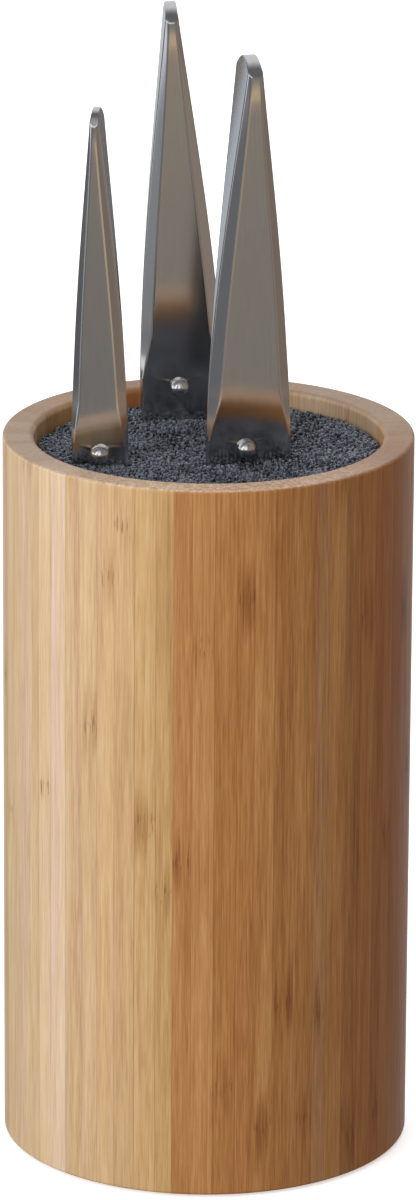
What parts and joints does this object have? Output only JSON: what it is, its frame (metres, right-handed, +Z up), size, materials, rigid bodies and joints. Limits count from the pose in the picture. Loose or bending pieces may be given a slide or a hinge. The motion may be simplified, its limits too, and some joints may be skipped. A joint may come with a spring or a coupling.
{
  "type": "knife block",
  "caption": "Round laminated-bamboo knife block with a lift-out bristle insert holding all-steel knives with faceted hollow handles and ball rivets.",
  "frame": {"origin": "centre of the resting plane, under the tube's axis, at the bottom of the rubber feet", "axes": "+Z up along the tube's axis, -Y towards the side that the knives' flat faces look to, +X to that viewer's right"},
  "size_m": [0.125, 0.125, 0.3505],
  "materials": {
    "bamboo": "oiled satin, vertical laminated strips",
    "foot_rubber": "matte",
    "cup_plastic": "fine moulded texture",
    "bristle_plastic": "soft satin rods with rounded tips",
    "blade_steel": "fine satin grind",
    "handle_steel": "bead-blasted satin",
    "pearl_steel": "polished"
  },
  "bodies": {
    "block": {"stave_01": "bamboo", "stave_02": "bamboo", "stave_03": "bamboo", "stave_04": "bamboo", "stave_05": "bamboo", "stave_06": "bamboo", "stave_07": "bamboo", "stave_08": "bamboo", "stave_09": "bamboo", "stave_10": "bamboo", "stave_11": "bamboo", "stave_12": "bamboo", "stave_13": "bamboo", "stave_14": "bamboo", "stave_15": "bamboo", "stave_16": "bamboo", "base_disc": "bamboo", "foot_1": "foot_rubber", "foot_2": "foot_rubber", "foot_3": "foot_rubber", "foot_4": "foot_rubber"},
    "insert": {"insert_cup": "cup_plastic", "bristle_plate": "cup_plastic", "bristle_bundle": "bristle_plastic"},
    "chef_knife": {"chef_blade": "blade_steel", "chef_front_shell": "handle_steel", "chef_back_shell": "handle_steel", "chef_pearl": "pearl_steel"},
    "santoku_knife": {"santoku_blade": "blade_steel", "santoku_front_shell": "handle_steel", "santoku_back_shell": "handle_steel", "santoku_pearl": "pearl_steel"},
    "paring_knife": {"paring_blade": "blade_steel", "paring_front_shell": "handle_steel", "paring_back_shell": "handle_steel", "paring_pearl": "pearl_steel"}
  },
  "joints": [
    {"name": "insert_lift", "type": "slide", "parent": "block", "child": "insert", "axis": [0, 0, 1], "range_m": [0, 0.215]},
    {"name": "chef_lift", "type": "slide", "parent": "insert", "child": "chef_knife", "axis": [-0.0348, -0.0021, 0.9994], "range_m": [0, 0.21]},
    {"name": "santoku_lift", "type": "slide", "parent": "insert", "child": "santoku_knife", "axis": [-0.0034, -0.0008, 1], "range_m": [0, 0.19]},
    {"name": "paring_lift", "type": "slide", "parent": "insert", "child": "paring_knife", "axis": [-0.0103, 0.0017, 0.9999], "range_m": [0, 0.1]}
  ]
}
